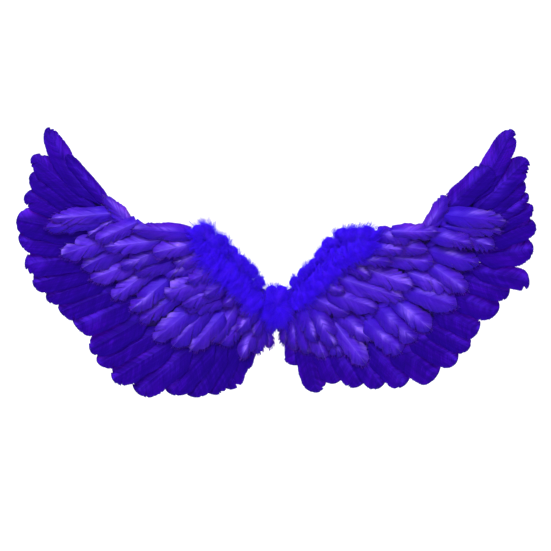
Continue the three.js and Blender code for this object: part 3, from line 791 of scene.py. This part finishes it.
def strip(tape, side):
    """The tape that a row of feathers is sewn to, with rounded edges."""
    distance = np.linspace(0, tape.length, 5)[:, None]
    turn = full_turn(12)
    across = tape.widest * squared(np.cos(turn), 0.4)
    rise = TAPE_THICKNESS * (0.5 + 0.5 * squared(np.sin(turn), 0.6))
    place = place_on(tape, distance + 0 * across, across + 0 * distance)
    front = np.interp(distance, tape.at, tape.height) + rise
    rings = in_world(place, front, side)
    # The tape, lying under the feathers, is darkened with painted shade.
    return body(rings, along=0.0, across=0.0, barb=0.0, edge=0.5, stem=0.0, glow=0.0, deep=0.6, tone=0.2)


# Down: clumps in a lock, barbs in a clump and points in a barb. Where barbs leave the lock and how far they
# reach, as shares of its length, in locks that stand and in locks that hang. How far past the lock's tip
# their ends may run, and how they fan out, as shares of the lock's half width. Then how far they stray at
# their start and end, how curved they are, how high they lie, their radius, and how far a ridge is combed.
CLUMPS = 30
BARBS = 16
BARB_POINTS = 4
LEAVES = (-0.3, 0.62)
STANDING_REACH = (0.4, 0.75)
HANGING_REACH = (0.4, 1.1)
STANDING_WISPS = (-2, 0.1)
HANGING_WISPS = (-0.8, 0.65)
FAN_START = 0.7
FAN_END = 1.35
STRAY_START = (0.002, 0.0022)
STRAY_END = 0.0014
BARB_CURVE = (0.15, 0.5)
BARB_LIFT = 0.0006
BARB_RADIUS = (0.00016, 0.0003)
COMBED = 0.006 * np.array([0.8, 0.6])


def lock_surface(lock, distance, across):
    """Underside and depth of a lock over a place on it."""
    half, thick = at_distance(lock, distance, "half", "thick")
    dome = np.sqrt(np.clip(1 - (across / (half * 1.45)) ** 2, 0, 1))
    return height_at(lock, distance), thick * dome


def core(lock, side, sweep):
    """The dense middle of a lock, under its loose barbs."""
    distance = np.linspace(-0.14 * lock.length, 0.9 * lock.length, 9)[:, None]
    turn = full_turn(14)
    half, thick = at_distance(lock, distance, "half", "thick")
    across = 0.95 * half * np.cos(turn)
    rise = thick * (0.3 + 0.24 * np.sin(turn))
    place = place_on(lock, distance + 0 * across, across)
    rings = in_world(place, height_at(lock, distance) + rise, side, sweep)
    return body(rings, along=0.3, tone=0.3)


def barbs(lock, side, sweep, combed, rng):
    """Loose curved barbs in clumps that fan out from the axis of a lock, with long wisps where it hangs."""
    count = CLUMPS * BARBS
    clump = np.repeat(np.arange(CLUMPS), BARBS)
    half = lock.widest
    hanging = lock.along[1] < 0
    aim = rng.uniform(-1, 1, CLUMPS)
    leave = rng.uniform(*LEAVES, CLUMPS) * lock.length
    reach = rng.uniform(*(HANGING_REACH if hanging else STANDING_REACH), CLUMPS) * lock.length
    start = leave[clump] + rng.normal(0, STRAY_START[0], count)
    across_start = FAN_START * half * aim[clump] + rng.normal(0, STRAY_START[1], count)
    wisp = rng.uniform(*(HANGING_WISPS if hanging else STANDING_WISPS), count)
    furthest = lock.length * (1.02 - 0.16 * aim[clump] ** 2 + wisp.clip(0))
    end = np.minimum(start + reach[clump] * (1 - 0.3 * np.abs(aim[clump])), furthest)
    end = end + rng.normal(0, STRAY_END, count)
    across_end = aim[clump] * half * FAN_END + rng.normal(0, STRAY_END, count)
    pull = rng.uniform(*BARB_CURVE, count)
    level = rng.uniform(0.5, 1.0, CLUMPS)[clump] * rng.uniform(0.85, 1.1, count)
    t = np.linspace(0, 1, BARB_POINTS)
    lean = (1 - t) ** 2, 2 * t * (1 - t), t**2
    via = start + pull * (end - start), across_start + (1 - 0.4 * pull) * (across_end - across_start)
    distance = np.outer(start, lean[0]) + np.outer(via[0], lean[1]) + np.outer(end, lean[2])
    across = np.outer(across_start, lean[0]) + np.outer(via[1], lean[1]) + np.outer(across_end, lean[2])
    under, depth = lock_surface(lock, np.clip(distance, 0, lock.length), across)
    lift = rng.normal(0, BARB_LIFT, count)[:, None] * t**2
    rise = level[:, None] * (0.6 + 0.4 * np.sin(math.pi * np.minimum(1, t * 0.8)))
    place = place_on(lock, distance, across)
    place = place + combed * (rng.uniform(0, 1, CLUMPS)[clump, None] * t**2)[..., None]
    spine = np.stack([place[..., 0], place[..., 1], under + BARB_LIFT + depth * rise + lift], axis=-1)
    width = rng.uniform(*BARB_RADIUS, count)[:, None] * (1 - 0.75 * t)
    shade = rng.uniform(0, 1, CLUMPS)[clump] * 0.7 + rng.uniform(0, 0.3, count)
    return strands(spine, width, side, sweep, {"along": np.tile(t, (count, 1)), "tone": shade})


def down(locks, tapes, side, rng, sweep=SWEEP, combed=COMBED):
    """Locks of down, and the tapes that they are sewn to."""
    bodies = []
    for lock in locks:
        bodies += [core(lock, side, sweep), barbs(lock, side, sweep, combed, rng)]
    return joined(bodies + [strip(tape, side) for tape in tapes])


# Felt and elastic.
def inset(outline, amount):
    ahead, behind = np.roll(outline, -1, axis=0), np.roll(outline, 1, axis=0)
    run = ahead - behind
    run /= np.linalg.norm(run, axis=1, keepdims=True)
    return outline + amount * np.stack([run[:, 1], -run[:, 0]], axis=1)


def backwards(side):
    """Direction from a wing's plane to the wearer."""
    return np.array([side * math.sin(SWEEP), math.cos(SWEEP), 0])


def stitch(start, end, lift):
    """One sewn stitch from start to end, domed along lift."""
    run = (end - start) / np.linalg.norm(end - start)
    sideways = np.cross(run, lift)
    t = np.linspace(0, 1, 6)
    spine = start + t[:, None] * (end - start) + np.sin(math.pi * t)[:, None] * lift * STITCH_RADIUS * 1.2
    size = STITCH_RADIUS * np.sqrt(np.clip(1 - (2 * t - 1) ** 4, 0.08, 1))
    turn = full_turn(6)
    round_run = np.cos(turn)[:, None] * sideways + np.sin(turn)[:, None] * lift
    return body(spine[:, None, :] + size[:, None, None] * round_run)


def seam(path, lift, stitches):
    """Stitches along a path of world points."""
    length, gap = stitches
    travelled = np.concatenate([[0], np.cumsum(np.linalg.norm(np.diff(path, axis=0), axis=1))])
    starts = np.arange(0, travelled[-1] - length, length + gap)

    def at(distance):
        return np.array([np.interp(distance, travelled, path[:, i]) for i in range(3)])

    return [stitch(at(s), at(s + length), lift) for s in starts]


def felt_card(side):
    """A card covered with felt: rounded edges, and a seam round it on the wearer's side."""
    outline = card_outline(150)
    rings = []
    for share in np.linspace(0, 1, 7):
        turn = math.pi * share
        round_off = 1 - math.sin(turn) ** 0.6 if share not in (0, 1) else 1
        ring = inset(outline, CARD_ROUNDING * round_off)
        rings.append(in_world(ring, CARD_THICKNESS * (0.5 - 0.5 * math.cos(turn)), side))
    path = in_world(inset(outline, CARD_SEAM), 0, side)
    return joined([body(np.array(rings))] + seam(path, backwards(side), CARD_STITCH))


def felt_patch():
    """The creased patch over the inner edges of both cards, with a seam round it."""
    x = PATCH_HALF_WIDTH * np.sin(np.linspace(-1, 1, 41) * math.pi / 2)
    back = -math.tan(SWEEP) * (np.sqrt(x**2 + PATCH_CREASE**2) - PATCH_CREASE)
    turned = np.arctan(np.gradient(back, x))
    over = np.clip(np.abs(x) - (PATCH_HALF_WIDTH - PATCH_CORNER), 0, PATCH_CORNER)
    trim = PATCH_CORNER - np.sqrt(PATCH_CORNER**2 - over**2)
    low, high = PATCH_BOTTOM + trim, PATCH_TOP - trim
    turn = full_turn(40)
    depth = PATCH_THICKNESS * (0.5 + 0.5 * squared(np.cos(turn), 0.5))
    z = (high + low)[:, None] / 2 + (high - low)[:, None] / 2 * squared(np.sin(turn), 0.25)
    px = x[:, None] + depth * np.sin(turned)[:, None]
    py = back[:, None] - depth * np.cos(turned)[:, None]
    outer, top, bottom = PATCH_HALF_WIDTH - PATCH_SEAM, PATCH_TOP - PATCH_SEAM, PATCH_BOTTOM + PATCH_SEAM
    route = np.array([(PATCH_SEAM, top), (outer, top), (outer, bottom), (PATCH_SEAM, bottom)])
    sewn = []
    for sign in (-1, 1):
        out = route[:, 0]
        path = [sign * out * math.cos(SWEEP), -out * math.sin(SWEEP) + SEAM_LIFT, route[:, 1]]
        sewn += seam(np.stack(path, axis=1), backwards(sign), PATCH_STITCH)
    return joined([body(np.stack([px, py, z], axis=-1))] + sewn)


def arm_loop(side):
    """A flat elastic band with lengthwise ribs, sewn to the card at both ends."""
    seat = CLEARANCE + STRAP_THICKNESS / 2
    route = np.array(STRAP_ROUTE) * [STRAP_REACH - seat, STRAP_HEIGHT] + [seat, STRAP_MIDDLE]
    line = spline(route, STRAP_POINTS)
    run = np.gradient(line, axis=0)
    run /= np.linalg.norm(run, axis=1, keepdims=True)
    normal = np.stack([-run[:, 1], run[:, 0]], axis=1)
    share = np.linspace(-1, 1, 33)
    rib = 1 - RIB_DEPTH + RIB_DEPTH * np.cos(share * math.pi * STRAP_RIBS)
    edge = np.sqrt(np.clip(1 - np.abs(share) ** 24, 0.02, 1))
    across = np.concatenate([share, share[::-1]]) * STRAP_WIDTH / 2
    depth = np.concatenate([rib * edge, -(rib * edge)[::-1]]) * STRAP_THICKNESS / 2
    behind = line[:, :1] + normal[:, :1] * depth
    up = line[:, 1:] + normal[:, 1:] * depth
    place = np.stack([STRAP_PLACE + across + 0 * behind, up], axis=-1)
    bodies = [body(in_world(place, -np.maximum(behind, CLEARANCE * 0.5), side))]
    half = STRAP_SEAM_HALF_WIDTH
    for end in (route[:2, 1], route[-2:, 1]):
        low, high = min(end) + STRAP_SEAM_MARGIN, max(end) - STRAP_SEAM_MARGIN
        corners = np.array([(-half, low), (half, low), (half, high), (-half, high)])
        for line in ((0, 1), (1, 2), (2, 3), (3, 0), (0, 2), (1, 3)):
            place = corners[list(line)] + [STRAP_PLACE, 0]
            path = in_world(place, -(CLEARANCE + STRAP_THICKNESS), side)
            bodies += seam(path, backwards(side), STRAP_STITCH)
    return joined(bodies)


# Materials.
def new_material(name, color, **sockets):
    """A material with its constant values set on the shader, and the tree to add its patterns to."""
    material = bpy.data.materials.new(name)
    material.use_nodes = True
    shader = material.node_tree.nodes["Principled BSDF"]
    shader.inputs["Base Color"].default_value = (*color, 1)
    for key, value in sockets.items():
        shader.inputs[key.replace("_", " ")].default_value = value
    return material, material.node_tree, shader


def node(tree, kind, inputs=(), **settings):
    made = tree.nodes.new(kind)
    for key, value in settings.items():
        setattr(made, key, value)
    for key, value in dict(inputs).items():
        if isinstance(value, bpy.types.NodeSocket):
            tree.links.new(value, made.inputs[key])
        else:
            made.inputs[key].default_value = value
    return made


def attribute(tree, name):
    return node(tree, "ShaderNodeAttribute", attribute_name=name).outputs["Fac"]


def position(tree):
    return node(tree, "ShaderNodeNewGeometry").outputs["Position"]


def math_node(tree, operation, a, b=0.0, clamp=False):
    return node(tree, "ShaderNodeMath", {0: a, 1: b}, operation=operation, use_clamp=clamp).outputs[0]


def weighed(tree, *terms):
    """Sum of sockets, each times its weight."""
    total, *others = [math_node(tree, "MULTIPLY", value, weight) for value, weight in terms]
    for other in others:
        total = math_node(tree, "ADD", total, other)
    return total


def cells(tree, first, second, apart):
    """Coordinates for a noise along two values, each times its cells for a unit, and apart for each piece."""
    x, y = (math_node(tree, "MULTIPLY", *scaled) for scaled in (first, second))
    return node(tree, "ShaderNodeCombineXYZ", {0: x, 1: y, 2: apart}).outputs[0]


def noise(tree, vector, scale=1.0, detail=3.0, rough=0.55):
    inputs = {"Vector": vector, "Scale": scale, "Detail": detail, "Roughness": rough}
    return node(tree, "ShaderNodeTexNoise", inputs).outputs["Fac"]


def ramp(tree, value, low, high, start=0.0, end=1.0):
    inputs = {"Value": value, "From Min": low, "From Max": high, "To Min": start, "To Max": end}
    return node(tree, "ShaderNodeMapRange", inputs).outputs["Result"]


def mix(tree, share, a, b):
    made = node(tree, "ShaderNodeMix", data_type="RGBA")
    for key, value in ((0, share), (6, a), (7, b)):
        if isinstance(value, bpy.types.NodeSocket):
            tree.links.new(value, made.inputs[key])
        else:
            made.inputs[key].default_value = value if key == 0 else (*value, 1)
    return made.outputs[2]


def bump(tree, height, distance, strength=1.0, normal=None):
    inputs = {"Height": height, "Distance": distance, "Strength": strength}
    if normal is not None:
        inputs["Normal"] = normal
    return node(tree, "ShaderNodeBump", inputs).outputs["Normal"]


def feather_material(name, palette):
    """Streaks along the barbs, a tone for each feather, a band of painted highlight, painted shade on lower
    edges and roots, a paler shaft that is partly its own colour and partly painted highlight, and a darker
    rim.
    """
    material, tree, shader = new_material(
        name, palette.middle, Roughness=palette.roughness, Specular_IOR_Level=palette.gloss, Specular_Tint=VIOLET_TINT,
        Sheen_Weight=0.3 * palette.gloss, Sheen_Roughness=0.45, Sheen_Tint=VIOLET_TINT, Subsurface_Weight=0.6,
        Subsurface_Radius=(1.0, 0.5, 1.0), Subsurface_Scale=0.0016,
    )
    along, across, barb = (attribute(tree, n) for n in ("along", "across", "barb"))
    edge, stem, tone = (attribute(tree, n) for n in ("edge", "stem", "tone"))
    away = math_node(tree, "ABSOLUTE", edge)
    apart = math_node(tree, "MULTIPLY", tone, FEATHERS_APART)
    fine = noise(tree, cells(tree, (barb, BARB_CELLS[0]), (across, BARB_CELLS[1]), apart), detail=2.0)
    clump = noise(tree, cells(tree, (barb, CLUMP_CELLS[0]), (across, CLUMP_CELLS[1]), apart))
    streak = noise(tree, cells(tree, (along, STREAKS_ALONG), (across, palette.streaks), apart))
    total = weighed(tree, (clump, 0.9), (streak, 1.1), (fine, 0.5), (tone, palette.uneven))
    color = mix(tree, ramp(tree, total, 0.95, 1.3 + palette.uneven), palette.dark, palette.middle)
    color = mix(tree, ramp(tree, total, 1.3 + palette.uneven * 0.5, 1.75 + palette.uneven), color, palette.light)
    # Painted shade, darker and bluer, on the lower edge and the root of each vane.
    color = mix(tree, math_node(tree, "MULTIPLY", attribute(tree, "deep"), 0.85), color, palette.deep)
    # Painted highlight: a patchy light band beside the shaft, where a vane would catch the light.
    painted_highlight_share = ramp(tree, clump, 0.3, 0.62)
    painted_highlight_share = math_node(tree, "MULTIPLY", attribute(tree, "glow"), painted_highlight_share, clamp=True)
    color = mix(tree, painted_highlight_share, color, palette.glow)
    # A paler shaft on some feathers: partly the shaft's own colour, partly painted highlight in the highlight
    # colour.
    pale_shaft_and_highlight = math_node(tree, "MULTIPLY", stem, ramp(tree, tone, 0.4, 1.0, 0.0, 0.25))
    color = mix(tree, pale_shaft_and_highlight, color, palette.glow)
    color = mix(tree, ramp(tree, away, 0.93, 1.0, 0.0, palette.rim), color, palette.dark)
    tree.links.new(color, shader.inputs["Base Color"])
    crown = math_node(tree, "MULTIPLY", math_node(tree, "POWER", away, 2.0), -1.0)
    curved = bump(tree, crown, palette.camber)
    ridges = weighed(tree, (fine, 1.0), (clump, 1.2))
    tree.links.new(bump(tree, ridges, 0.0004, 0.7, curved), shader.inputs["Normal"])
    return material


def down_material(name, palette):
    """Matt down, darker and lighter in clumps and patches."""
    material, tree, shader = new_material(
        name, palette.middle, Roughness=0.65, Specular_IOR_Level=0.12, Specular_Tint=VIOLET_TINT,
        Sheen_Weight=0.1, Sheen_Roughness=0.5, Sheen_Tint=VIOLET_TINT,
    )
    patchy = noise(tree, position(tree), DOWN_PATCHES)
    total = weighed(tree, (attribute(tree, "tone"), 0.55), (patchy, 0.6), (attribute(tree, "along"), 0.3))
    color = mix(tree, ramp(tree, total, 0.25, 0.75), palette.dark, palette.middle)
    color = mix(tree, ramp(tree, total, 0.75, 1.2), color, palette.light)
    tree.links.new(color, shader.inputs["Base Color"])
    return material


def felt_material(name, dark, light):
    """Short matted fibres: fine bump in two sizes and a mottled tone."""
    material, tree, shader = new_material(
        name, light, Roughness=0.95, Specular_IOR_Level=0.15, Sheen_Weight=0.15, Sheen_Roughness=0.6,
        Sheen_Tint=CLOTH_TINT,
    )
    place = position(tree)
    fibres = noise(tree, place, FELT_FIBRES, 4.0, 0.7)
    mottle = noise(tree, place, FELT_MOTTLE, 4.0, 0.6)
    total = weighed(tree, (fibres, 0.5), (mottle, 0.5))
    tree.links.new(mix(tree, ramp(tree, total, 0.35, 0.65), dark, light), shader.inputs["Base Color"])
    normal = bump(tree, mottle, 0.0008, 0.4)
    tree.links.new(bump(tree, fibres, 0.0003, 0.8, normal), shader.inputs["Normal"])
    return material


def elastic_material(name, dark, light):
    """Fine crosswise weave."""
    material, tree, shader = new_material(
        name, light, Roughness=0.8, Specular_IOR_Level=0.2, Sheen_Weight=0.2, Sheen_Tint=CLOTH_TINT
    )
    place = position(tree)
    inputs = {"Vector": place, "Scale": ELASTIC_WEAVE, "Distortion": 0.6}
    weave = node(tree, "ShaderNodeTexWave", inputs, bands_direction="Z").outputs["Fac"]
    total = weighed(tree, (weave, 0.5), (noise(tree, place, ELASTIC_GRAIN), 0.5))
    tree.links.new(mix(tree, ramp(tree, total, 0.2, 0.8), dark, light), shader.inputs["Base Color"])
    tree.links.new(bump(tree, total, 0.0003, 0.8), shader.inputs["Normal"])
    return material


# Patterns: noise cells for a metre along and across the barbs, streaks for a feather's length, and how far
# apart the patterns of two feathers lie. Then cells for a metre of down, felt and elastic.
BARB_CELLS = (900, 60)
CLUMP_CELLS = (200, 45)
STREAKS_ALONG = 2.6
FEATHERS_APART = 91.0
DOWN_PATCHES = 95.0
FELT_FIBRES = 1500.0
FELT_MOTTLE = 160.0
ELASTIC_WEAVE = 420.0
ELASTIC_GRAIN = 900.0
VIOLET_TINT = (0.42, 0.26, 1.0, 1)
CLOTH_TINT = (0.45, 0.35, 1.0, 1)

# Feathers: dark, middle and light tones of the dye, then the colours of the painted shade and of the painted
# highlight.
FLIGHT_DYE_AND_PAINTED_LIGHT = SimpleNamespace(
    dark=(0.006, 0.0001, 0.12), middle=(0.0112, 0.0002, 0.182), light=(0.029, 0.002, 0.34),
    deep=(0.007, 0.0001, 0.16), glow=(0.046, 0.009, 0.48), roughness=0.55, gloss=0.06, rim=0.1,
    camber=0.0008, uneven=0.1, streaks=360,
)
COVERT_DYE_AND_PAINTED_LIGHT = SimpleNamespace(
    dark=(0.02, 0.001, 0.28), middle=(0.042, 0.005, 0.39), light=(0.075, 0.017, 0.52),
    deep=(0.016, 0.0007, 0.38), glow=(0.29, 0.15, 0.95), roughness=0.5, gloss=0.22, rim=0.0,
    camber=0.006, uneven=0.4, streaks=170,
)
DOWN_DYE = SimpleNamespace(
    dark=(0.02, 0.0009, 0.56), middle=(0.034, 0.0015, 0.79), light=(0.08, 0.01, 0.92)
)
flight_material = feather_material("flight_feather", FLIGHT_DYE_AND_PAINTED_LIGHT)
covert_material = feather_material("covert_feather", COVERT_DYE_AND_PAINTED_LIGHT)
down_finish = down_material("fluff", DOWN_DYE)
felt_finish = felt_material("backing_felt", (0.006, 0.001, 0.075), (0.018, 0.004, 0.16))
elastic_finish = elastic_material("elastic", (0.01, 0.002, 0.13), (0.03, 0.008, 0.28))

# Pieces.
left = lay_wing(
    LEFT_FLIGHTS, LEFT_GREATER_COVERTS, LEFT_MEDIAN_COVERTS, LEFT_LESSER_COVERTS, LEFT_LOCKS
)
right = lay_wing(
    RIGHT_FLIGHTS, RIGHT_GREATER_COVERTS, RIGHT_MEDIAN_COVERTS, RIGHT_LESSER_COVERTS, RIGHT_LOCKS
)

for wing, name, side in ((left, "left", -1), (right, "right", 1)):
    rng = np.random.default_rng(20 + side)
    for i, flight in enumerate(wing.flights, start=1):
        label = f"{name}_flight_{i:02d}"
        look = POINTED_LOOK if label in POINTED else FLIGHT_LOOK
        vane = feather(flight, look, side, rng, CLEFTS.get(label, ((), ())))
        piece(label + "_feather", vane, flight_material, "flight_feather", [label])
    for row in ("greater", "median", "lesser"):
        label = f"{name}_{row}_coverts"
        vanes = feather_row(getattr(wing, row), side, rng)
        piece(label + "_feathers", vanes, covert_material, "covert_feather", [label])
    fluff = down(wing.fluff.feathers, wing.fluff.tapes, side, rng)
    piece(name + "_fluff_down", fluff, down_finish, "fluff", [name + "_fluff"])
    piece(name + "_felt_card", felt_card(side), felt_finish, "backing_felt", [name + "_backing_card"])
    piece(name + "_elastic_loop", arm_loop(side), elastic_finish, "elastic", [name + "_arm_loop"])

tuft = down(lay_tuft(left, right), [], 1, np.random.default_rng(30), sweep=0.0, combed=0 * COMBED)
piece("centre_tuft_down", tuft, down_finish, "fluff", ["centre_tuft"])
patch = piece("felt_patch", felt_patch(), felt_finish, "backing_felt", ["back_patch"])


# Floor, light and world. A light has a place, a size and a power.
LIGHT_AIM = Vector((0, 0, 0.02))
LIGHTS = {
    "key": ((-0.65, -1.75, 1.95), 1.2, 88),
    "fill": ((0.7, -2.4, -0.7), 2.0, 20),
    "back": ((0.8, 2.4, 1.2), 2.0, 40),
}
WORLD_LEVEL = 1.2
WORLD_ABOVE = 0.62


def floor():
    """A round pale floor, far under the wings."""
    rim = [(FLOOR_RADIUS * math.cos(a), FLOOR_RADIUS * math.sin(a), FLOOR_HEIGHT) for a in full_turn(96)]
    mesh = bpy.data.meshes.new("floor")
    mesh.from_pydata(rim, [], [list(range(len(rim)))])
    paper, _, _ = new_material("floor_paper", (0.9, 0.9, 0.91), Roughness=0.9, Specular_IOR_Level=0.1)
    mesh.materials.append(paper)
    added("floor", mesh)


def studio_world(level, above):
    """A world that is bright at eye level all round, and dimmer towards its top and bottom."""
    world = bpy.data.worlds.new("studio")
    world.use_nodes = True
    tree = world.node_tree
    direction = node(tree, "ShaderNodeTexCoord").outputs["Generated"]
    height = node(tree, "ShaderNodeSeparateXYZ", {0: direction}).outputs["Z"]
    strength = ramp(tree, math_node(tree, "ABSOLUTE", height), 0.25, 0.5, level, above)
    background = tree.nodes["Background"]
    background.inputs["Color"].default_value = (1, 1, 1, 1)
    tree.links.new(strength, background.inputs["Strength"])
    bpy.context.scene.world = world


def area_light(name, place, size, power):
    light = bpy.data.lights.new(name, "AREA")
    light.shape = "SQUARE"
    light.size = size
    light.energy = power
    obj = added(name, light)
    obj.location = place
    obj.rotation_euler = (LIGHT_AIM - Vector(place)).to_track_quat("-Z", "Y").to_euler()


floor()
for name, light in LIGHTS.items():
    area_light(name, *light)
studio_world(WORLD_LEVEL, WORLD_ABOVE)
